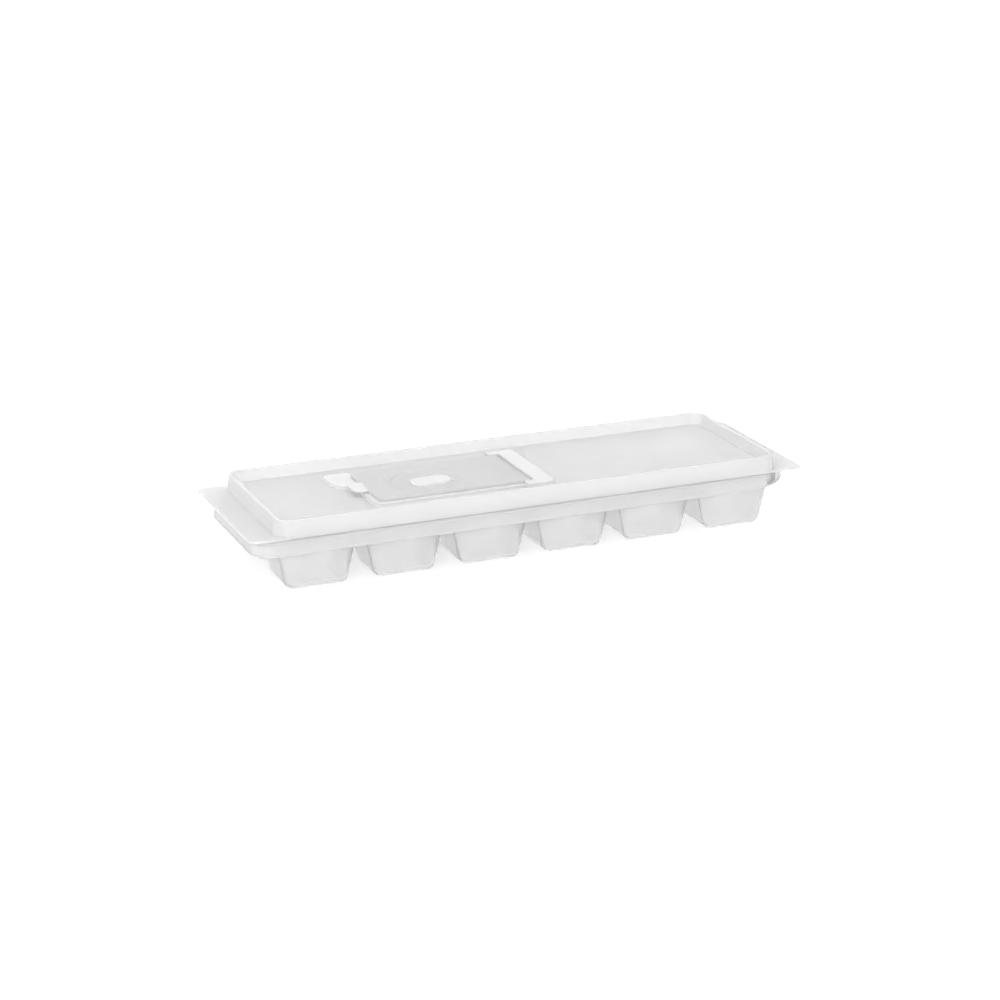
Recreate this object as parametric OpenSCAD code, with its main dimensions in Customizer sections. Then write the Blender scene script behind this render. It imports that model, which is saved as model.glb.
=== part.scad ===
// Ice cube tray with a lift-off lid and a hinged fill hatch.
// X runs along the tray, Y across it and Z up, and the cups stand on Z = 0.
// The origin is the middle of the tray on that surface.

/* [Cups] */
// Distance between cup centres along the tray
pitch_x = 45; // [42:0.5:60]
// Distance between the centres of the two rows
pitch_y = 44; // [42:0.5:60]
// Flat web left between two cup mouths
web = 4; // [3:0.5:8]
// Height from the foot of a cup to the top of the web
cup_h = 24; // [16:0.5:40]
// How much further in each cup wall stands at the foot than at the mouth
cup_taper = 5; // [2:0.25:7]
// Radius of the edge round a cup's foot
foot_r = 4; // [2:0.25:6]

/* [Tray] */
// Wall of the tray
tray_wall = 1.3; // [0.9:0.1:1.8]
// Height of the low basin wall above the web
basin_h = 4.4; // [3.6:0.2:10]
// Corner radius inside the basin
basin_r = 7.7; // [6.5:0.1:9]
// Width of the flange along the long sides
side_flange = 4.4; // [3:0.2:12]
// Width of the flange at each end, which is the handle
end_flange = 12.8; // [10:0.2:30]
// Depth of the skirt that hangs from the flange
skirt_h = 6.6; // [4:0.2:14]
// Corner radius of the flange at the two corners that are not cut back
square_r = 10; // [6:0.5:14]

/* [Lid] */
// Height of the lid's raised rim
rim_h = 9; // [7:0.5:14]
// Wall of the lid's panel and tabs
lid_wall = 1.4; // [1:0.1:1.6]
// Height of the lid's underside above the tray's flange, inside its wall
lid_room = 1.7; // [1.6:0.1:3]
// Width of the flat top of the raised rim
rim_w = 1.1; // [0.6:0.1:2]
// How much the rim's outer wall leans in
rim_lean = 1.2; // [0.4:0.1:2]
// Radius of the rim's top edges
rim_edge = 0.6; // [0.3:0.1:0.8]
// How far each end tab reaches past the lid's wall
tab_reach = 13.3; // [10:0.1:30]
// Corner radius of the end tabs
tab_r = 4; // [2:0.5:8]
// Thickness of the end tabs
tab_t = 1.2; // [0.8:0.1:1.6]
// Depth of the locating lip below the lid's wall
lip_h = 2.1; // [1:0.1:3]
// Gap between the lip and the basin wall
lip_gap = 0.3; // [0.2:0.05:0.5]

/* [Fill hatch] */
// Place of the hinge axis along the tray
hinge_x = 4; // [0:0.5:20]
// Length of the hatch from its free edge to the hinge axis
hatch_l = 79.5; // [66:0.5:96]
// Width of the hatch
hatch_w = 45; // [44:0.5:58]
// Thickness of the hatch
hatch_t = 1.4; // [1.1:0.1:1.8]
// Height of the seat round the fill opening above the lid's panel
seat_h = 1.9; // [1.6:0.1:2.4]
// Width of the seat that the hatch lies on
seat_w = 2.2; // [1.5:0.1:4]
// Radius of the hinge barrel
barrel_r = 1.5; // [1.3:0.1:1.8]
// Radius of the two stub trunnions
trunnion_r = 0.8; // [0.6:0.1:0.9]
// Length of each trunnion
trunnion_l = 3.3; // [2:0.1:5]
// Running clearance round a trunnion
trunnion_gap = 0.05; // [0.02:0.01:0.1]
// Gap between the hub of the round finger dish and the fill opening
dish_gap = 0.8; // [0.5:0.1:4]
// Depth of the finger dish
dish_depth = 2; // [0.8:0.1:2.4]

/* [Hidden] */
COLUMNS = 6;
ROW_NAMES = ["front", "back"];
$fn = 64;
ARC_STEPS = 5;
// Corner radius of a cup at its mouth, which leaves a small round corner inside its foot
CORNER_LEFT = 0.5;
mouth_r = cup_taper + foot_r + CORNER_LEFT;
OVERCUT = 1;
// Gap that keeps two flat seats from sharing a face across a joint
SEAT_GAP = 0.1;

// Heights of the tray
deck_under = cup_h - tray_wall;
flange_top = cup_h + basin_h;
flange_under = flange_top - tray_wall;
skirt_foot = flange_top - skirt_h;

// Half sizes of the tray
deck_x = COLUMNS * pitch_x / 2;
deck_y = pitch_y;
basin_x = deck_x - tray_wall;
basin_y = deck_y - tray_wall;
tray_x = basin_x + end_flange;
tray_y = basin_y + side_flange;
deck_r = basin_r + tray_wall;
// At two corners the flange is cut back to the lid's corner, so that a finger can reach the lid.
// The arc there touches both edges of the flange and passes just outside the lid's corner.
CUTBACK_MARGIN = 0.016;
past_x = tray_x - deck_x + deck_r;
past_y = tray_y - deck_y + deck_r;
past_r = deck_r + CUTBACK_MARGIN;
past = past_x + past_y - past_r;
touching_r = past + sqrt(past * past - past_x * past_x - past_y * past_y + past_r * past_r);
cutback_r = round(touching_r * 100) / 100;
// Corners are listed as +X +Y, then anticlockwise
tray_radii = [square_r, cutback_r, square_r, cutback_r];
inner_radii = [for (r = tray_radii) r - tray_wall];
SKIRT_FLARE = 0.2;
BEAD = 0.4;
BEAD_H = 1;
TRAY_EDGE = 0.8;

// Heights of the lid
lid_z = flange_top + SEAT_GAP;
panel_under = lid_z + lid_room;
panel_top = panel_under + lid_wall;
lid_top = lid_z + rim_h;

// Offsets of the lid's wall inward from its base outline
LIP_T = 1.2;
lip_out = tray_wall + lip_gap;
lip_in = lip_out + LIP_T;
rim_out = rim_lean + rim_edge;
rim_in = rim_out + rim_w;
INNER_LEAN = 0.7;
inner_foot = rim_in + rim_edge + INNER_LEAN;
panel_in = inner_foot + 0.1;

// The hatch's seat, island and hinge
seat_z = panel_top + seat_h;
hatch_under = seat_z + SEAT_GAP;
hatch_top = hatch_under + hatch_t;
hatch_x = hinge_x - hatch_l;
hinge_z = hatch_top - barrel_r - 0.1;
// Corner radii of the hatch at its free end and at its hinge
HATCH_R = 4;
HINGE_R = 1;
EAR_GAP = 0.4;
EAR_T = 5.6;
EAR_BACK = 2.6;
EAR_R = 1;
block_y = hatch_w / 2 + EAR_GAP + EAR_T;
GROOVE_BACK = 3;
GROOVE_FRONT = barrel_r + 1;
GROOVE_UNDER = 0.4;
groove_y = hatch_w / 2 + EAR_GAP;
BLOCK_L = 12.2;
block_end = hinge_x + BLOCK_L;
BLOCK_R = 4;
// Raised frame round the hatch
FRAME_W = 2.5;
FRAME_R = 5;
frame_start = hatch_x - FRAME_W;
frame_y = hatch_w / 2 + FRAME_W;
// Raised thumb rest beside the finger tab, with its corners listed as +X +Y, then anticlockwise
REST_L = 12;
REST_GAP = 1;
REST_RADII = [3, 3, 9, 3];
rest_start = hatch_x - REST_L;
opening_start = hatch_x + seat_w + 1.8;
opening_end = hinge_x - GROOVE_BACK - seat_w;
opening_y = hatch_w / 2 - seat_w;
OPENING_R = 5;
POCKET_R = 3;
POCKET_WALL = 1.6;
REST_ROOM_R = 2;
GROOVE_WALL = 1;
CORE_R = 2;
pocket_top = seat_z - lid_wall;
// Finger tab, dish and the oval boss in the dish
TAB_L = 7;
TAB_HALF = 7;
TAB_R = 4.5;
TAB_T = 1;
TAB_LAP = 5;
rest_y = TAB_HALF + REST_GAP;
DISH_LEAN = 3.5;
DISH_T = 1.2;
DISH_START = 7.5;
dish_r = opening_y - dish_gap;
dish_x = opening_start + dish_r + DISH_START;
BOSS_SHIFT = 4.5;
BOSS_X = 10.5;
BOSS_Y = 6;
BOSS_R = 5.5;
BOSS_H = 0.8;

function cup_name(row, col) = str("cup_", ROW_NAMES[row], "_", col);
function arc(cx, cy, r, from, to) =
    [for (i = [0 : ARC_STEPS])
        let (t = from + (to - from) * i / ARC_STEPS) [cx + r * cos(t), cy + r * sin(t)]];
// Profile with its points on a grid of a thousandth of a millimetre,
// so that round corners and straight sides meet exactly
function on_grid(profile) = [for (p = profile) [round(p[0] * 1000) / 1000, round(p[1] * 1000) / 1000]];
function same(r) = [r, r, r, r];
function sign_x(k) = k == 0 || k == 3 ? 1 : -1;
function sign_y(k) = k < 2 ? 1 : -1;
function corner_centre(half_x, half_y, radii, k) =
    [sign_x(k) * (half_x - radii[k]), sign_y(k) * (half_y - radii[k])];
// Outline with a notch to each corner's centre, which a quarter disc fills
function notched(half_x, half_y, radii) = [
    for (k = [0 : 3])
        let (c = corner_centre(half_x, half_y, radii, k), r = radii[k])
            for (p = k % 2 == 0
                ? [[sign_x(k) * half_x, c[1]], c, [c[0], sign_y(k) * half_y]]
                : [[c[0], sign_y(k) * half_y], c, [sign_x(k) * half_x, c[1]]]) p
];

// Flat plate with round corners between two heights
module plate(half_x, half_y, radii, low, high) {
    translate([0, 0, low]) linear_extrude(high - low) polygon(notched(half_x, half_y, radii));
    for (k = [0 : 3]) {
        translate(concat(corner_centre(half_x, half_y, radii, k), low))
            rotate([0, 0, 90 * k])
                rotate_extrude(angle = 90)
                    square([radii[k], high - low]);
    }
}

// The same plate between two places along X
module plate_between(start, end, half_y, r, low, high) {
    translate([(start + end) / 2, 0, 0]) plate((end - start) / 2, half_y, same(r), low, high);
}

// One straight side of a sweep, with the profile's X pointing along +X
module straight_side(reach, from, to, profile) {
    translate([reach, to, 0]) rotate([90, 0, 0]) linear_extrude(to - from) polygon(on_grid(profile));
}

// Profile of [outward offset, height] points carried round an outline with round corners
module sweep(half_x, half_y, radii, profile) {
    for (k = [0 : 3]) {
        translate(concat(corner_centre(half_x, half_y, radii, k), 0))
            rotate([0, 0, 90 * k])
                rotate_extrude(angle = 90)
                    polygon([for (p = on_grid(profile)) [radii[k] + p[0], p[1]]]);
    }
    straight_side(half_x, radii[3] - half_y, half_y - radii[0], profile);
    rotate([0, 0, 90]) straight_side(half_y, radii[0] - half_x, half_x - radii[1], profile);
    rotate([0, 0, 180]) straight_side(half_x, radii[1] - half_y, half_y - radii[2], profile);
    rotate([0, 0, 270]) straight_side(half_y, radii[2] - half_x, half_x - radii[3], profile);
}

// Solid cup form: walls lean out to the mouth and the foot's edge is round.
// inset is 0 for the outside and the wall for the hollow.
module cup_form(inset, high) {
    half_x = (pitch_x - web) / 2;
    half_y = (pitch_y - web) / 2;
    lean = atan(cup_taper / cup_h);
    centre = foot_r * tan(lean) - foot_r / cos(lean) - cup_taper;
    wall_at = (high - cup_h) * tan(lean) - inset / cos(lean);
    profile = concat(
        [[-mouth_r, high], [-mouth_r, inset]],
        arc(centre, foot_r, foot_r - inset, -90, -lean),
        [[wall_at, high]]
    );
    sweep(half_x, half_y, same(mouth_r), profile);
    translate([mouth_r - half_x, mouth_r - half_y, inset])
        cube([2 * (half_x - mouth_r), 2 * (half_y - mouth_r), high - inset]);
}

// One cup with its share of the web between the cups
module cup(row, col) {
    centre = [(col - (COLUMNS + 1) / 2) * pitch_x, (row - 0.5) * pitch_y, 0];
    color([0.9, 0.92, 0.93, 0.5]) difference() {
        union() {
            translate(centre) cup_form(0, deck_under + tray_wall / 2);
            intersection() {
                translate(centre + [-pitch_x / 2, -pitch_y / 2, deck_under])
                    cube([pitch_x, pitch_y, tray_wall]);
                plate(deck_x, deck_y, same(deck_r), deck_under - OVERCUT, cup_h + OVERCUT);
                plate(tray_x - tray_wall, tray_y - tray_wall, inner_radii,
                    deck_under - OVERCUT, cup_h + OVERCUT);
            }
        }
        translate(centre) cup_form(tray_wall, cup_h + OVERCUT);
    }
}

// Basin wall, flange and skirt round the cups
module tray_rim() {
    skirt = concat(
        arc(-TRAY_EDGE, flange_top - TRAY_EDGE, TRAY_EDGE, 90, 0),
        [
            [SKIRT_FLARE, skirt_foot + BEAD_H],
            [SKIRT_FLARE + BEAD, skirt_foot + BEAD_H],
            [SKIRT_FLARE + BEAD, skirt_foot],
            [SKIRT_FLARE - tray_wall, skirt_foot],
            [-tray_wall, flange_under],
            [-tray_wall, flange_top]
        ]
    );
    color([0.9, 0.92, 0.93, 0.5]) {
        sweep(tray_x, tray_y, tray_radii, skirt);
        difference() {
            plate(tray_x - tray_wall, tray_y - tray_wall, inner_radii, flange_under, flange_top);
            plate(basin_x, basin_y, same(basin_r), flange_under - OVERCUT, flange_top + OVERCUT);
        }
        sweep(basin_x, basin_y, same(basin_r),
            [[0, cup_h], [tray_wall, cup_h], [tray_wall, flange_under], [0, flange_under]]);
    }
}

// Raised rim, locating lip and end tabs of the lid
module lid_rim() {
    wall = concat(
        [[0, lid_z]],
        arc(-rim_out, lid_top - rim_edge, rim_edge, 0, 90),
        arc(-rim_in, lid_top - rim_edge, rim_edge, 90, 180),
        [
            [-inner_foot, panel_top],
            [-panel_in, panel_top],
            [-panel_in, panel_under],
            [-lip_in, panel_under],
            [-lip_in, lid_z - lip_h],
            [-lip_out, lid_z - lip_h],
            [-lip_out, lid_z]
        ]
    );
    color([0.93, 0.94, 0.95, 0.6]) {
        sweep(deck_x, deck_y, same(deck_r), wall);
        difference() {
            plate(deck_x + tab_reach, deck_y, same(tab_r), lid_z, lid_z + tab_t);
            plate(deck_x - tray_wall, deck_y - tray_wall, same(basin_r), lid_z - OVERCUT, panel_top);
            translate([deck_r - deck_x, -deck_y - OVERCUT, lid_z - OVERCUT])
                cube([2 * (deck_x - deck_r), 2 * (deck_y + OVERCUT), panel_top - lid_z]);
        }
    }
}

// Recessed panel of the lid with the raised frame, thumb rest and hinge block of the fill hatch
module lid_panel() {
    color([0.88, 0.89, 0.9, 0.7]) difference() {
        union() {
            plate(deck_x - panel_in, deck_y - panel_in, same(deck_r - panel_in), panel_under, panel_top);
            plate_between(frame_start, block_end, frame_y, FRAME_R, panel_under, seat_z);
            translate([(rest_start + frame_start + FRAME_R) / 2, (rest_y + block_y) / 2, 0])
                plate((frame_start + FRAME_R - rest_start) / 2, (block_y - rest_y) / 2, REST_RADII,
                    panel_under, seat_z);
            translate([(block_end + hinge_x - EAR_BACK) / 2, 0, 0])
                plate((block_end - hinge_x + EAR_BACK) / 2, block_y, [BLOCK_R, EAR_R, EAR_R, BLOCK_R],
                    panel_under, hatch_top);
        }
        // Room under the frame's top and the thumb rest, which leaves them as thick as the panel
        plate_between(frame_start + POCKET_WALL, hinge_x - GROOVE_BACK - GROOVE_WALL, frame_y - POCKET_WALL,
            POCKET_R, panel_under - OVERCUT, pocket_top);
        translate([(rest_start + frame_start) / 2, (rest_y + block_y) / 2, 0])
            plate((frame_start - rest_start) / 2 - POCKET_WALL, (block_y - rest_y) / 2 - POCKET_WALL,
                same(REST_ROOM_R), panel_under - OVERCUT, pocket_top);
        // Room inside the hinge block
        plate_between(hinge_x + GROOVE_FRONT + POCKET_WALL, block_end - POCKET_WALL,
            block_y - POCKET_WALL, CORE_R, panel_under - OVERCUT, hatch_top - lid_wall);
        // Fill opening
        plate_between(opening_start, opening_end, opening_y, OPENING_R, panel_under - OVERCUT, hatch_top);
        // Groove that the hinge barrel turns in
        translate([hinge_x - GROOVE_BACK, -groove_y, hinge_z - barrel_r - GROOVE_UNDER])
            cube([GROOVE_BACK + GROOVE_FRONT, 2 * groove_y, hatch_top]);
        // Seats of the trunnions
        translate([hinge_x, groove_y + trunnion_l, hinge_z])
            rotate([90, 0, 0])
                cylinder(h = 2 * (groove_y + trunnion_l), r = trunnion_r + trunnion_gap);
    }
}

// Fill hatch with its finger dish, finger tab, hinge barrel and trunnions
module fill_hatch() {
    pin_half = hatch_w / 2 + trunnion_l;
    dish_under = hatch_top - dish_depth - DISH_T;
    color([0.84, 0.86, 0.87, 0.75]) {
        difference() {
            union() {
                translate([(hatch_x + hinge_x) / 2, 0, 0])
                    plate(hatch_l / 2, hatch_w / 2, [HINGE_R, HATCH_R, HATCH_R, HINGE_R],
                        hatch_under, hatch_top);
                plate_between(hatch_x - TAB_L, hatch_x + TAB_LAP, TAB_HALF, TAB_R,
                    hatch_top - TAB_T, hatch_top);
                translate([dish_x, 0, dish_under])
                    cylinder(h = dish_depth + DISH_T - hatch_t / 2,
                        r1 = dish_r - DISH_LEAN + DISH_T / 2, r2 = dish_r);
            }
            translate([dish_x, 0, hatch_top - dish_depth])
                cylinder(h = dish_depth + OVERCUT, r1 = dish_r - DISH_LEAN,
                    r2 = dish_r + DISH_LEAN * OVERCUT / dish_depth);
        }
        translate([dish_x + BOSS_SHIFT, 0, 0])
            plate(BOSS_X, BOSS_Y, same(BOSS_R), hatch_top - dish_depth, hatch_top - dish_depth + BOSS_H);
        translate([hinge_x, hatch_w / 2, hinge_z]) rotate([90, 0, 0]) cylinder(h = hatch_w, r = barrel_r);
        translate([hinge_x, pin_half, hinge_z]) rotate([90, 0, 0]) cylinder(h = 2 * pin_half, r = trunnion_r);
    }
}

for (row = [0, 1], col = [1 : COLUMNS]) cup(row, col);
tray_rim();
lid_rim();
lid_panel();
fill_hatch();
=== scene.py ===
# Looks of the ice cube tray with its lid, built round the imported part.
# Lengths are in millimetres in this file, and metres() turns a finished mesh to metres.
from math import atan, cos, degrees, hypot, pi, radians, sin, tan

import bmesh
import bpy
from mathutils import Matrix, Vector


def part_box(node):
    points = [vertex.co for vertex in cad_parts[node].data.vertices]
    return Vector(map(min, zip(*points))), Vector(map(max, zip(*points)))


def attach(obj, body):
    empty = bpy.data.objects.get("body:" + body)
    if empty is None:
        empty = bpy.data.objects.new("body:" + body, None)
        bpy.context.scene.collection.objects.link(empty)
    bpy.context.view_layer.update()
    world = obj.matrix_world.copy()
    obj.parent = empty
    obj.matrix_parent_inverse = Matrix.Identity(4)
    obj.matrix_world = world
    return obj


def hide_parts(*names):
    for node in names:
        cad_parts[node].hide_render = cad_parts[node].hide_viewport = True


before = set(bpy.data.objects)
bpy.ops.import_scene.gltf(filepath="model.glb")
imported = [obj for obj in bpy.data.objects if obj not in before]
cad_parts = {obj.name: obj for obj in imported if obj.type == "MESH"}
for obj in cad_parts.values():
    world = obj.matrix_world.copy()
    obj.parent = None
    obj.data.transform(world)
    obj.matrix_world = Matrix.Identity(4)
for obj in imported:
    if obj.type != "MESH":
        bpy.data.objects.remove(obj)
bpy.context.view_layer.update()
MM = 0.001


def corners(node):
    low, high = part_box(node)
    return [v / MM for v in low], [v / MM for v in high]


# Sizes read off the part
cup_low, cup_high = corners("cup_front_1")
next_low = corners("cup_front_2")[0]
back_low = corners("cup_back_1")[0]
rim_low, rim_high = corners("tray_rim")
lid_low, lid_high = corners("lid_rim")
panel_low = corners("lid_panel")[0]
hatch_low, hatch_high = corners("fill_hatch")

COLUMNS = 6
pitch_x = next_low[0] - cup_low[0]
pitch_y = back_low[1] - cup_low[1]
deck_x = COLUMNS * pitch_x / 2
deck_y = pitch_y
cup_h = cup_high[2]
flange_top = rim_high[2]
skirt_foot = rim_low[2]
lid_top = lid_high[2]
panel_under = panel_low[2]
hatch_top = hatch_high[2]

# Sizes repeated from the part
WALL = 1.3
WEB = 4
TAPER = 5
MOUTH_R = 9.5
FOOT_R = 4
DECK_R = 9
BEAD = 0.6
TRAY_X = rim_high[0] - BEAD
TRAY_Y = rim_high[1] - BEAD
SQUARE_R = 10
CUTBACK_R = 32
TRAY_RADII = (SQUARE_R, CUTBACK_R, SQUARE_R, CUTBACK_R)
LID_GAP = 0.1
LID_Z = flange_top + LID_GAP
PANEL_T = 1.4
panel_top = panel_under + PANEL_T
SEAT_H = 1.9
SEAT_Z = panel_top + SEAT_H
HINGE_X = 4
HINGE_DROP = 1.6
hinge_z = hatch_top - HINGE_DROP
HATCH_X = -75.5
HATCH_HALF = 22.5
HATCH_T = 1.4
FREE_SEAT = 4
SIDE_SEAT = 2.2
OPENING_X = HATCH_X + FREE_SEAT
OPENING_Y = HATCH_HALF - SIDE_SEAT
DISH_GAP = 0.8
DISH_SET = 7.5
DISH_R = OPENING_Y - DISH_GAP
DISH_X = OPENING_X + DISH_R + DISH_SET


# Mesh work

# Points nearer than this are one point, in a drawn mesh and after the last cut
DRAWN_WELD = 0.0005
CUT_WELD = 0.002
# A cutting tool reaches this far past the face that it opens, and there it is this much wider
# than the round edge that it cuts
PAST = 1
CLEAR = 0.01
# When a face's finish is read off its place, this level counts as flat, and this near as on it
FLAT = 0.99
NEAR = 0.1


def arc(cx, cz, r, start, end, steps=6):
    """Points of a profile along an arc, from one angle in degrees to another."""
    turn = [radians(start + (end - start) * i / steps) for i in range(steps + 1)]
    return [(cx + r * cos(t), cz + r * sin(t)) for t in turn]


def outline(half_x, half_y, radii, at=(0, 0), steps=12):
    """Outline with round corners. Each point keeps its corner's centre, so that it can grow."""
    if not isinstance(radii, (tuple, list)):
        radii = (radii,) * 4
    points = []
    for k, r in enumerate(radii):
        side_x = 1 if k in (0, 3) else -1
        side_y = 1 if k < 2 else -1
        centre = (at[0] + side_x * (half_x - r), at[1] + side_y * (half_y - r))
        for i in range(steps + 1):
            t = radians(90 * k + 90 * i / steps)
            points.append((centre, (cos(t), sin(t)), r))
    return points


def ring(mesh, points, grow, z):
    """The outline at one height, grown outwards. A negative number shrinks it."""
    return [
        mesh.verts.new((c[0] + (r + grow) * d[0], c[1] + (r + grow) * d[1], z))
        for c, d, r in points
    ]


def bridge(mesh, low, high):
    n = len(low)
    for i in range(n):
        j = (i + 1) % n
        mesh.faces.new((low[i], low[j], high[j], high[i]))


def solid(mesh, points, profile):
    """Closed solid from a profile of (growth, height) points. Its ends are flat."""
    rings = [ring(mesh, points, grow, z) for grow, z in profile]
    for low, high in zip(rings, rings[1:]):
        bridge(mesh, low, high)
    mesh.faces.new(list(reversed(rings[0])))
    mesh.faces.new(rings[-1])


def rod(mesh, x, z, r, half, chamfer=0.15, steps=32):
    """Round bar along Y with a small chamfer at each end."""
    turn = [2 * pi * i / steps for i in range(steps)]
    ends = ((-half, r - chamfer), (chamfer - half, r), (half - chamfer, r), (half, r - chamfer))
    rings = []
    for y, size in ends:
        rings.append([mesh.verts.new((x + size * cos(t), y, z + size * sin(t))) for t in turn])
    for low, high in zip(rings, rings[1:]):
        bridge(mesh, low, high)
    mesh.faces.new(list(reversed(rings[0])))
    mesh.faces.new(rings[-1])


def piece(name, draw):
    """New object whose mesh is drawn by draw(mesh) in millimetres."""
    mesh = bmesh.new()
    draw(mesh)
    bmesh.ops.remove_doubles(mesh, verts=mesh.verts, dist=DRAWN_WELD)
    bmesh.ops.recalc_face_normals(mesh, faces=mesh.faces)
    data = bpy.data.meshes.new(name)
    mesh.to_mesh(data)
    mesh.free()
    made = bpy.data.objects.new(name, data)
    bpy.context.scene.collection.objects.link(made)
    return made


def cut_or_join(body, operation, draw):
    tool = piece("tool", draw)
    step = body.modifiers.new("step", "BOOLEAN")
    step.operation = operation
    step.solver = "MANIFOLD"
    step.object = tool
    shaped = bpy.data.meshes.new_from_object(
        body.evaluated_get(bpy.context.evaluated_depsgraph_get())
    )
    body.modifiers.clear()
    old = body.data
    body.data = shaped
    bpy.data.meshes.remove(old)
    used = tool.data
    bpy.data.objects.remove(tool)
    bpy.data.meshes.remove(used)


def join(body, draw):
    cut_or_join(body, "UNION", draw)


def cut(body, draw):
    cut_or_join(body, "DIFFERENCE", draw)


def metres(body, angle=28):
    """Turns the mesh to metres, tidies it and smooths it across every edge below the angle."""
    mesh = bmesh.new()
    mesh.from_mesh(body.data)
    bmesh.ops.remove_doubles(mesh, verts=mesh.verts, dist=CUT_WELD)
    bmesh.ops.dissolve_degenerate(mesh, edges=mesh.edges, dist=CUT_WELD)
    bmesh.ops.scale(mesh, vec=(MM, MM, MM), verts=mesh.verts)
    for face in mesh.faces:
        face.smooth = True
    mesh.to_mesh(body.data)
    mesh.free()
    body.data.materials.clear()
    body.data.set_sharp_from_angle(angle=radians(angle))
    weigh = body.modifiers.new("flat faces stay flat", "WEIGHTED_NORMAL")
    weigh.mode = "FACE_AREA_WITH_ANGLE"
    weigh.keep_sharp = True


# Tray

lean = atan(TAPER / cup_h)
wall_turn = degrees(lean)
foot_centre = FOOT_R * tan(lean) - FOOT_R / cos(lean) - TAPER


def wall_at(z, inset=0):
    """How far a cup's wall lies from the mouth's outline at a height."""
    return z * tan(lean) - TAPER - inset / cos(lean)


def cup_places():
    for row in (-1, 1):
        for col in range(COLUMNS):
            yield (col - (COLUMNS - 1) / 2) * pitch_x, row * pitch_y / 2


def cup_outlines():
    half_x, half_y = (pitch_x - WEB) / 2, (pitch_y - WEB) / 2
    return [outline(half_x, half_y, MOUTH_R, at) for at in cup_places()]


def cup_outsides(mesh):
    blend = 1.0
    z = cup_h - WALL - blend
    x = wall_at(z) + blend / cos(lean)
    profile = arc(foot_centre, FOOT_R, FOOT_R, -90, -wall_turn, 8)
    profile += arc(x, z, blend, 180 - wall_turn, 90, 5)
    profile += [(x, cup_h - WALL / 2)]
    for points in cup_outlines():
        solid(mesh, points, profile)


def cup_insides(mesh):
    lip = 1.2
    z = cup_h - lip
    x = wall_at(z, WALL) + lip / cos(lean)
    profile = arc(foot_centre, FOOT_R, FOOT_R - WALL, -90, -wall_turn, 8)
    profile += arc(x, z, lip, 180 - wall_turn, 90, 6)
    profile += [(x + CLEAR, cup_h + PAST / 2)]
    for points in cup_outlines():
        solid(mesh, points, profile)


def flange_block(mesh):
    """Flange and skirt, with a small bead along the skirt's foot."""
    edge = 0.3
    bead_h = 1
    bead_turn = 60
    bead_out = 0.2
    bead_rise = 0.1
    top_r = 0.8
    foot = skirt_foot
    profile = arc(BEAD - edge, foot + edge, edge, -90, 0, 3)
    profile += arc(BEAD - edge, foot + bead_h - edge, edge, 0, bead_turn, 3)
    profile += [(bead_out, foot + bead_h + bead_rise)]
    profile += arc(-top_r, flange_top - top_r, top_r, 0, 90, 5)
    solid(mesh, outline(TRAY_X, TRAY_Y, TRAY_RADII, steps=24), profile)


def flange_room(mesh):
    """Hollow under the flange. The skirt is thinner at its foot, so that it leaves the mould."""
    ceiling = flange_top - WALL
    inner_r = 0.8
    foot_wall = 0.9
    low_wall = 1.1
    low_h = 0.4
    profile = [(-foot_wall, skirt_foot - PAST), (-low_wall, skirt_foot + low_h)]
    profile += arc(-WALL - inner_r, ceiling - inner_r, inner_r, 0, 90, 4)
    solid(mesh, outline(TRAY_X, TRAY_Y, TRAY_RADII, steps=24), profile)


def basin_block(mesh):
    under = cup_h - WALL
    foot_r = 1.0
    profile = arc(-foot_r, under + foot_r, foot_r, -90, 0, 5) + [(0, flange_top - WALL / 2)]
    solid(mesh, outline(deck_x, deck_y, DECK_R), profile)


def basin_room(mesh):
    foot_r = 0.8
    mouth_r = 0.6
    profile = arc(-WALL - foot_r, cup_h + foot_r, foot_r, -90, 0, 5)
    profile += arc(mouth_r - WALL, flange_top - mouth_r, mouth_r, 180, 90, 5)
    profile += [(mouth_r + CLEAR - WALL, flange_top + PAST)]
    solid(mesh, outline(deck_x, deck_y, DECK_R), profile)


def flange_finish(face):
    """1 for the flange and skirt, which are hazier, and 0 for the cups and their basin."""
    at = face.center / MM
    past_deck = 0.5
    outside = abs(at.x) > deck_x + past_deck or abs(at.y) > deck_y + past_deck
    flat = abs(face.normal.z) > FLAT and abs(at.z - flange_top) < WALL + NEAR
    return 1 if outside or flat else 0


def make_tray():
    tray = piece("tray_moulding", flange_block)
    cut(tray, flange_room)
    join(tray, basin_block)
    join(tray, cup_outsides)
    cut(tray, basin_room)
    cut(tray, cup_insides)
    metres(tray)
    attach(tray, "tray")
    nodes = [f"cup_{row}_{col + 1}" for row in ("front", "back") for col in range(COLUMNS)]
    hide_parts(*nodes, "tray_rim")
    return tray


# Lid

RIM_LEAN = 1.2
RIM_EDGE = 0.6
RIM_W = 1.1
LIP_IN = 1.6
TAB_X = lid_high[0]
TAB_R = 4
TAB_T = 1.2
FRAME_W = 2.5
FRAME_X = HATCH_X - FRAME_W
FRAME_Y = HATCH_HALF + FRAME_W
BLOCK_L = 12.2
EAR_T = 6
BLOCK_END = HINGE_X + BLOCK_L
BLOCK_Y = HATCH_HALF + EAR_T
REST_L = 12
REST_X = HATCH_X - REST_L
REST_Y = 8
REST_LAP = 5
REST_RADII = (3, 3, 9, 3)
FRAME_R = 5
EAR_BACK = 2.6
ROOM_WALL = 1.6
EAR_GAP = 0.4
# How far these end from the hinge's middle: the frame's hollow, the block's hollow and the
# fill opening, and the groove's two sides
FRAME_ROOM_END = 4
BLOCK_ROOM_START = 4.1
OPENING_END = 5.2
GROOVE_FREE = 3
GROOVE_BACK = 2.5
BARREL_R = 1.5
PIN_R = 0.8
PIN_L = 3.3
PIN_GAP = 0.05


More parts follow.
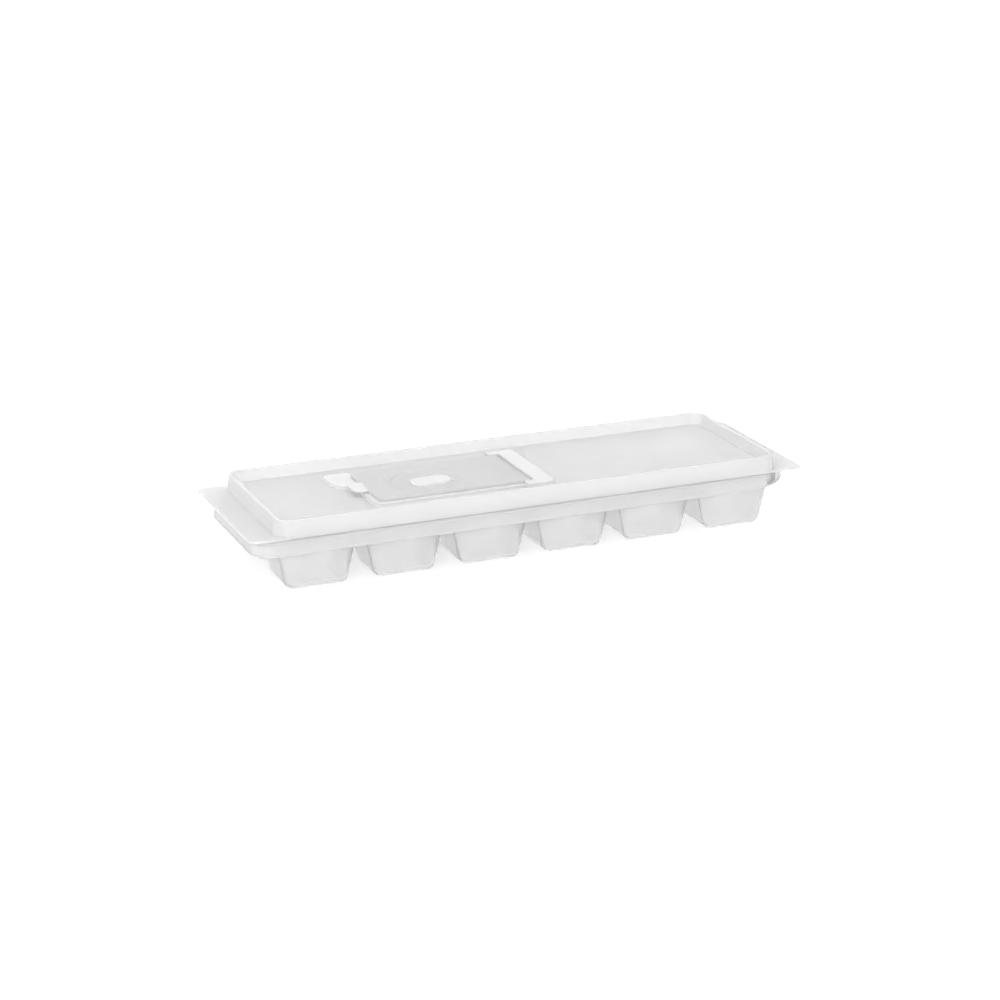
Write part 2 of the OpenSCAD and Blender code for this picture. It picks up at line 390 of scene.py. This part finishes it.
def between(start, end, half_y, radii):
    """Outline from one place along the tray to another, even about its middle line."""
    return outline((end - start) / 2, half_y, radii, ((start + end) / 2, 0))


def rim_block(mesh):
    foot = 0.3
    profile = [(-foot, LID_Z), (0, LID_Z + foot)]
    profile += arc(-RIM_LEAN - RIM_EDGE, lid_top - RIM_EDGE, RIM_EDGE, 8, 90, 6)
    solid(mesh, outline(deck_x, deck_y, DECK_R), profile)


def lip_block(mesh):
    """Lip under the rim, which keeps the lid in the tray's basin."""
    low = lid_low[2]
    edge = 0.3
    bite = 0.5
    profile = arc(-LIP_IN - edge, low + edge, edge, -90, 0, 3) + [(-LIP_IN, LID_Z + bite)]
    solid(mesh, outline(deck_x, deck_y, DECK_R), profile)


def end_tabs(mesh):
    edge = 0.35
    profile = arc(-edge, LID_Z + edge, edge, -90, 0, 3)
    profile += arc(-edge, LID_Z + TAB_T - edge, edge, 0, 90, 3)
    hidden_r = 0.5
    inner = deck_x - DECK_R - hidden_r
    right = (TAB_R, hidden_r, hidden_r, TAB_R)
    left = (hidden_r, TAB_R, TAB_R, hidden_r)
    solid(mesh, between(inner, TAB_X, deck_y, right), profile)
    solid(mesh, between(-TAB_X, -inner, deck_y, left), profile)


def recess(mesh):
    """The room over the panel, inside the rim. Its wall leans as the rim's inside does."""
    foot = 0.5
    draft = 0.7
    lean_turn = 7
    inner = RIM_LEAN + RIM_EDGE * 2 + RIM_W
    profile = arc(-inner - draft - foot, panel_top + foot, foot, -90, -lean_turn, 4)
    profile += arc(RIM_EDGE - inner, lid_top - RIM_EDGE, RIM_EDGE, 180 - lean_turn, 90, 6)
    profile += [(RIM_EDGE - inner + CLEAR, lid_top + PAST)]
    solid(mesh, outline(deck_x, deck_y, DECK_R), profile)


def lid_room(mesh):
    """The room under the panel, which makes the lid a thin shell."""
    inner = 2.8
    top_r = 0.6
    profile = [(-inner, lid_low[2] - PAST)]
    profile += arc(-inner - top_r, panel_under - top_r, top_r, 0, 90, 4)
    solid(mesh, outline(deck_x, deck_y, DECK_R), profile)


def raised(height, edge, foot=0.4):
    """Profile of a raised place on the panel, with a fillet at its foot and round top edges."""
    rise = arc(foot, panel_top + foot, foot, 270, 180, 4)
    return [(foot, panel_top - PANEL_T / 2)] + rise + arc(-edge, height - edge, edge, 0, 90, 5)


def hatch_frame(mesh):
    edge = 0.5
    solid(mesh, between(FRAME_X, BLOCK_END, FRAME_Y, FRAME_R), raised(SEAT_Z, edge))


def thumb_rest(mesh):
    """Raised corner beside the hatch's finger tab, at the back."""
    edge = 0.7
    end = FRAME_X + REST_LAP
    middle = ((REST_X + end) / 2, (REST_Y + BLOCK_Y) / 2)
    points = outline((end - REST_X) / 2, (BLOCK_Y - REST_Y) / 2, REST_RADII, middle)
    solid(mesh, points, raised(SEAT_Z, edge))


def hinge_block(mesh):
    start = HINGE_X - EAR_BACK
    radii = (4, 1, 1, 4)
    edge = 0.6
    foot = 0.3
    solid(mesh, between(start, BLOCK_END, BLOCK_Y, radii), raised(hatch_top, edge, foot))


def room_under(height):
    """Profile of the hollow under a raised place, which keeps the wall even."""
    top_r = 0.5
    rise = arc(-top_r, height - PANEL_T - top_r, top_r, 0, 90, 4)
    return [(0, panel_under - PAST)] + rise


def frame_room(mesh):
    room_r = 3
    end = HINGE_X - FRAME_ROOM_END
    points = between(FRAME_X + ROOM_WALL, end, FRAME_Y - ROOM_WALL, room_r)
    solid(mesh, points, room_under(SEAT_Z))


def rest_room(mesh):
    room_r = 2
    middle = ((REST_X + FRAME_X) / 2, (REST_Y + BLOCK_Y) / 2)
    half_x = (FRAME_X - REST_X) / 2 - ROOM_WALL
    half_y = (BLOCK_Y - REST_Y) / 2 - ROOM_WALL
    solid(mesh, outline(half_x, half_y, room_r, middle), room_under(SEAT_Z))


def block_room(mesh):
    room_r = 2
    start = HINGE_X + BLOCK_ROOM_START
    points = between(start, BLOCK_END - ROOM_WALL, BLOCK_Y - ROOM_WALL, room_r)
    solid(mesh, points, room_under(hatch_top))


def fill_opening(mesh):
    edge = 0.4
    profile = [(0, panel_under - PAST)] + arc(edge, SEAT_Z - edge, edge, 180, 90, 4)
    profile += [(edge + CLEAR, SEAT_Z + 3 * PAST)]
    solid(mesh, between(OPENING_X, HINGE_X - OPENING_END, OPENING_Y, FRAME_R), profile)


def hinge_groove(mesh):
    """The trough that the hatch's barrel turns in, open at the top."""
    under_gap = 0.4
    floor = hinge_z - BARREL_R - under_gap
    foot_r = 0.5
    corner_r = 0.6
    start, end = HINGE_X - GROOVE_FREE, HINGE_X + GROOVE_BACK
    profile = arc(-foot_r, floor + foot_r, foot_r, -90, 0, 4) + [(0, hatch_top + PAST)]
    solid(mesh, between(start, end, HATCH_HALF + EAR_GAP, corner_r), profile)


def pin_seats(mesh):
    rod(mesh, HINGE_X, hinge_z, PIN_R + PIN_GAP, HATCH_HALF + EAR_GAP + PIN_L)


def lid_finish(face):
    """0 for the clear rim, 1 for the frosted panel and tabs, and 2 for the raised places."""
    at = face.center / MM
    sides = (panel_top, panel_under, LID_Z, LID_Z + TAB_T)
    if abs(face.normal.z) > FLAT and min(abs(at.z - side) for side in sides) < NEAR / 2:
        return 1
    rim_zone = 6
    inside = abs(at.x) < deck_x - rim_zone and abs(at.y) < deck_y - rim_zone
    return 2 if inside and at.z < hatch_top + NEAR else 0


def make_lid():
    lid = piece("lid_moulding", rim_block)
    join(lid, lip_block)
    join(lid, end_tabs)
    cut(lid, lid_room)
    cut(lid, recess)
    join(lid, hatch_frame)
    join(lid, thumb_rest)
    join(lid, hinge_block)
    cut(lid, frame_room)
    cut(lid, rest_room)
    cut(lid, block_room)
    cut(lid, fill_opening)
    cut(lid, hinge_groove)
    cut(lid, pin_seats)
    metres(lid)
    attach(lid, "lid")
    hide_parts("lid_rim", "lid_panel")
    return lid


# Fill hatch

DISH_DEPTH = 2
DISH_LEAN = 3.5
DISH_T = 1.2
BOSS_SHIFT = 4.5
BOSS_X = 10.5
BOSS_Y = 6
BOSS_R = 5.5
BOSS_H = 0.8
TAB_LAP = 5
FINGER_HALF = 7
FINGER_R = 4.5
FINGER_T = 1


def plate_edge(thickness, under_r, top_r, steps):
    """Profile of a plate under the hatch's top, with a small round below and a larger above."""
    low = arc(-under_r, hatch_top - thickness + under_r, under_r, -90, 0, 3)
    return low + arc(-top_r, hatch_top - top_r, top_r, 0, 90, steps)


def hatch_plate(mesh):
    radii = (1, 4, 4, 1)
    edge = plate_edge(HATCH_T, 0.3, 0.5, 5)
    solid(mesh, between(HATCH_X, HINGE_X, HATCH_HALF, radii), edge)


def hatch_tab(mesh):
    points = between(hatch_low[0], HATCH_X + TAB_LAP, FINGER_HALF, FINGER_R)
    solid(mesh, points, plate_edge(FINGER_T, 0.3, 0.4, 4))


def dish_outline():
    return outline(DISH_R, DISH_R, DISH_R, (DISH_X, 0), steps=20)


def dish_underside(mesh):
    foot = hatch_top - DISH_DEPTH - DISH_T
    foot_r = 0.8
    foot_in = 3.6
    profile = arc(-foot_in, foot + foot_r, foot_r, -90, -30, 4)
    profile += [(0, hatch_top - HATCH_T / 2)]
    solid(mesh, dish_outline(), profile)


def dish_room(mesh):
    floor = hatch_top - DISH_DEPTH
    foot_r = 1.2
    foot_in = 0.9
    edge = 0.8
    edge_out = 0.5
    profile = arc(-DISH_LEAN - foot_in, floor + foot_r, foot_r, -90, -30, 5)
    profile += arc(edge_out, hatch_top - edge, edge, 150, 90, 4)
    profile += [(edge_out + CLEAR, hatch_top + PAST)]
    solid(mesh, dish_outline(), profile)


def dish_boss(mesh):
    """Low plain oval in the dish, set towards the hinge."""
    floor = hatch_top - DISH_DEPTH
    foot = 0.3
    edge = BOSS_H / 2
    profile = [(foot, floor - foot), (foot, floor)] + arc(-edge, floor + edge, edge, 0, 90, 4)
    solid(mesh, outline(BOSS_X, BOSS_Y, BOSS_R, (DISH_X + BOSS_SHIFT, 0)), profile)


def hinge_barrel(mesh):
    rod(mesh, HINGE_X, hinge_z, BARREL_R, HATCH_HALF)


def hinge_pins(mesh):
    rod(mesh, HINGE_X, hinge_z, PIN_R, HATCH_HALF + PIN_L)


def hatch_finish(face):
    """0 for the frosted plate, 1 for the dish, painted a shade darker as painted shade, and 2 for
    the polished boss and finger tab.
    """
    at = face.center / MM
    past_dish = 0.3
    if at.x < HATCH_X - NEAR:
        return 2
    if hypot(at.x - DISH_X, at.y) > DISH_R + past_dish or at.z > hatch_top - NEAR:
        return 0
    in_boss = abs(at.x - DISH_X - BOSS_SHIFT) < BOSS_X + NEAR and abs(at.y) < BOSS_Y + NEAR
    return 2 if in_boss and at.z > hatch_top - DISH_DEPTH + NEAR / 2 else 1


def make_hatch():
    hatch = piece("fill_hatch_moulding", hatch_plate)
    join(hatch, hatch_tab)
    join(hatch, dish_underside)
    cut(hatch, dish_room)
    join(hatch, dish_boss)
    join(hatch, hinge_barrel)
    join(hatch, hinge_pins)
    metres(hatch)
    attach(hatch, "hatch")
    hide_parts("fill_hatch")
    return hatch


# Materials


def colour(text):
    """sRGB hex, such as "E8E9EA", as a linear colour."""
    parts = [int(text[i : i + 2], 16) / 255 for i in (0, 2, 4)]
    return [p / 12.92 if p <= 0.04045 else ((p + 0.055) / 1.055) ** 2.4 for p in parts] + [1.0]


def add(tree, kind, settings=None, **links):
    """One node of a kind, with its settings. A link's name is the input it goes into."""
    made = tree.nodes.new(kind)
    for key, value in (settings or {}).items():
        if hasattr(made, key):
            setattr(made, key, value)
        else:
            made.inputs[key].default_value = value
    for key, source in links.items():
        tree.links.new(source, made.inputs[key.replace("_", " ")])
    return made


def new_material(name):
    made = bpy.data.materials.new(name)
    made.use_nodes = True
    made.node_tree.nodes.clear()
    return made, made.node_tree


# Width of a flow mark, where the melt slowed in the mould. The grain of the polished faces is
# the faint ripple of moulded plastic, about a millimetre from crest to crest.
FLOW_MM = 22


def plastic(name, pale, deep, clear, rough, ior, grain_mm, grain_depth, flow_depth):
    """Moulded plastic. Slow flow marks and a fine grain break up the gloss, and its colour
    drifts between two close tints, as in a thick and thin moulding."""
    made, tree = new_material(name)
    place = add(tree, "ShaderNodeTexCoord").outputs["Object"]
    flow = add(tree, "ShaderNodeTexNoise",
               {"Scale": 1 / (FLOW_MM * MM), "Detail": 2.0}, Vector=place)
    grain = add(tree, "ShaderNodeTexNoise",
                {"Scale": 1 / (grain_mm * MM), "Detail": 3.0}, Vector=place)
    tint = add(tree, "ShaderNodeValToRGB", Fac=flow.outputs["Fac"])
    tint.color_ramp.elements[0].position = 0.3
    tint.color_ramp.elements[0].color = colour(deep)
    tint.color_ramp.elements[1].position = 0.7
    tint.color_ramp.elements[1].color = colour(pale)
    gloss = add(tree, "ShaderNodeMapRange",
                {"To Min": rough * 0.8, "To Max": rough * 1.25}, Value=grain.outputs["Fac"])
    wave = add(tree, "ShaderNodeBump",
               {"Distance": flow_depth * MM, "Strength": 1.0}, Height=flow.outputs["Fac"])
    skin = add(tree, "ShaderNodeBump",
               {"Distance": grain_depth * MM, "Strength": 1.0},
               Height=grain.outputs["Fac"], Normal=wave.outputs["Normal"])
    body = add(tree, "ShaderNodeBsdfPrincipled", {"IOR": ior, "Transmission Weight": clear},
               Base_Color=tint.outputs["Color"], Roughness=gloss.outputs["Result"],
               Normal=skin.outputs["Normal"])
    out = add(tree, "ShaderNodeOutputMaterial")
    tree.links.new(body.outputs[0], out.inputs["Surface"])
    return made


# Clear polystyrene, injection moulded against polished steel: glassy with a slight haze, sharp
# bright edges, and slow flow marks that bend what is seen through it.
clear_tray = plastic(
    "clear_tray_polystyrene", "FFFFFF", "FDFDFD", 0.85, 0.18, 1.5, 0.9, 0.002, 0.02)
# The tray's flange and skirt, polystyrene moulded against a finely etched face: the haze makes
# them paler than the cups and hides what lies behind them.
hazy_flange = plastic(
    "hazy_flange_polystyrene", "FFFFFF", "FDFDFD", 0.6, 0.2, 1.5, 0.9, 0.002, 0.02)
# Polypropylene for the lid's rim, moulded against polished steel: clearer than the rest of the
# lid, so that its edges show as thin grey lines.
clear_rim = plastic(
    "clear_rim_polypropylene", "FFFFFF", "FDFDFD", 0.47, 0.1, 1.49, 0.9, 0.003, 0.02)
# Polypropylene for the raised places and the finger tab, polished too but thicker: milky and
# glossy, so that it glows a little where light comes through.
polished_lid = plastic(
    "polished_lid_polypropylene", "FFFFFF", "FDFDFD", 0.39, 0.1, 1.49, 0.9, 0.003, 0.03)
# Polypropylene moulded against sandblasted steel, for the lid's panel and tabs: it lets light
# through, hides the cups and has no highlight. The real frosting is too fine to draw at this
# size, so its grain is drawn about ten times coarser, here and on the hatch.
frosted_panel = plastic(
    "frosted_panel_polypropylene", "F8F8F8", "F5F5F5", 0.55, 0.7, 1.49, 0.8, 0.01, 0.02)
# The hatch has the same frosting as the panel, over the plate and the panel under its edge. Its
# colour is painted a shade greyer than the panel's: painted shade for the darker tone the hatch
# takes in the light.
hatch_painted_shade = plastic(
    "hatch_painted_shade_polypropylene", "F0F0F0", "EDEDED", 0.5, 0.65, 1.49, 0.8, 0.01, 0.02)
# Polypropylene with a coarser grain than the plate round it, painted a shade darker: painted
# shade for the shade that falls in the hollow dish.
dish_painted_shade = plastic(
    "dish_painted_shade_polypropylene", "ECECEC", "E8E8E8", 0.45, 0.75, 1.49, 1.1, 0.02, 0.02)


# Studio


def make_floor():
    def sheet(mesh):
        size = 3000
        steps = 8
        rows = [[mesh.verts.new((size * (2 * i / steps - 1), size * (2 * j / steps - 1), 0))
                 for i in range(steps + 1)] for j in range(steps + 1)]
        for a, b in zip(rows, rows[1:]):
            for i in range(steps):
                mesh.faces.new((a[i], a[i + 1], b[i + 1], b[i]))

    floor = piece("studio_floor", sheet)
    for corner in floor.data.vertices:
        corner.co *= MM
    made, tree = new_material("studio_paper")
    paper = add(tree, "ShaderNodeBsdfDiffuse", {"Color": colour("E6E6E6")})
    ray = add(tree, "ShaderNodeLightPath")
    # Straight to the camera the lit paper is white and keeps the shadow of the tray
    camera_glow = 0.55
    lift = add(tree, "ShaderNodeMath", {"operation": "MULTIPLY"})
    tree.links.new(ray.outputs["Is Camera Ray"], lift.inputs[0])
    lift.inputs[1].default_value = camera_glow
    glow = add(tree, "ShaderNodeEmission", {"Color": colour("FFFFFF")}, Strength=lift.outputs[0])
    lit = add(tree, "ShaderNodeAddShader")
    tree.links.new(paper.outputs[0], lit.inputs[0])
    tree.links.new(glow.outputs[0], lit.inputs[1])
    # In gloss and through clear plastic it is an even white, without the shadow
    through = add(tree, "ShaderNodeMath", {"operation": "MAXIMUM"})
    tree.links.new(ray.outputs["Is Glossy Ray"], through.inputs[0])
    tree.links.new(ray.outputs["Is Transmission Ray"], through.inputs[1])
    white = add(tree, "ShaderNodeEmission", {"Color": colour("FFFFFF"), "Strength": 1.0})
    seen = add(tree, "ShaderNodeMixShader", Fac=through.outputs[0])
    tree.links.new(lit.outputs[0], seen.inputs[1])
    tree.links.new(white.outputs[0], seen.inputs[2])
    add(tree, "ShaderNodeOutputMaterial", Surface=seen.outputs[0])
    floor.data.materials.append(made)


def make_world():
    world = bpy.data.worlds.new("studio")
    bpy.context.scene.world = world
    world.use_nodes = True
    tree = world.node_tree
    tree.nodes.clear()
    place = add(tree, "ShaderNodeTexCoord").outputs["Generated"]
    split = add(tree, "ShaderNodeSeparateXYZ", Vector=place)
    # White near the horizon, and a grey ceiling
    sky = add(tree, "ShaderNodeValToRGB", Fac=split.outputs["Z"])
    sky.color_ramp.elements[0].position = 0.30
    sky.color_ramp.elements[0].color = colour("FFFFFF")
    sky.color_ramp.elements[1].position = 0.75
    sky.color_ramp.elements[1].color = colour("E7E7E7")
    light = add(tree, "ShaderNodeBackground", {"Strength": 1.0}, Color=sky.outputs["Color"])
    out = add(tree, "ShaderNodeOutputWorld")
    tree.links.new(light.outputs[0], out.inputs["Surface"])


def softbox(name, at, size, power, target=(0, 0, 0.02)):
    """Wide soft lamp turned to the tray. Its place and size are in metres."""
    data = bpy.data.lights.new(name, "AREA")
    data.shape = "RECTANGLE"
    data.size, data.size_y = size
    data.energy = power
    lamp = bpy.data.objects.new(name, data)
    lamp.location = at
    lamp.rotation_euler = (Vector(target) - Vector(at)).to_track_quat("-Z", "Y").to_euler()
    bpy.context.scene.collection.objects.link(lamp)


def make_camera():
    # Fitted to the photo's straight edges and the corners of the front cups. The focal length
    # is in pixels of a frame 1000 wide, and the other lengths are in metres.
    azimuth, elevation, distance = radians(23.23), radians(18.64), 1.24085
    target = Vector((-0.00218, 0, 0.018))
    focal, frame_width = 2443.52, 1000
    level = cos(elevation)
    forward = Vector((sin(azimuth) * level, cos(azimuth) * level, -sin(elevation)))
    data = bpy.data.cameras.new("camera")
    data.sensor_width = 36
    data.lens = data.sensor_width * focal / frame_width
    eye = bpy.data.objects.new("camera", data)
    eye.location = target - distance * forward
    eye.rotation_euler = forward.to_track_quat("-Z", "Y").to_euler()
    bpy.context.scene.collection.objects.link(eye)
    bpy.context.scene.camera = eye


def dress(body, finishes, choose):
    """Gives a piece its finishes. choose(face) is the number of the one that a face takes."""
    for finish in finishes:
        body.data.materials.append(finish)
    for face in body.data.polygons:
        face.material_index = choose(face)


dress(make_tray(), (clear_tray, hazy_flange), flange_finish)
dress(make_lid(), (clear_rim, frosted_panel, polished_lid), lid_finish)
dress(make_hatch(), (hatch_painted_shade, dish_painted_shade, polished_lid), hatch_finish)
make_floor()
make_world()
softbox("softbox_over", (-0.2, 0.1, 1.2), (1.2, 0.9), 4)
softbox("softbox_front", (-0.7, -1.6, 0.7), (1.2, 0.8), 7.5)
make_camera()
bpy.context.scene.view_settings.view_transform = "Standard"
# Light has to pass many clear walls before it leaves the tray and the lid
paths = bpy.context.scene.cycles
paths.max_bounces = 24
paths.diffuse_bounces = 8
paths.transmission_bounces = 24
paths.glossy_bounces = 12
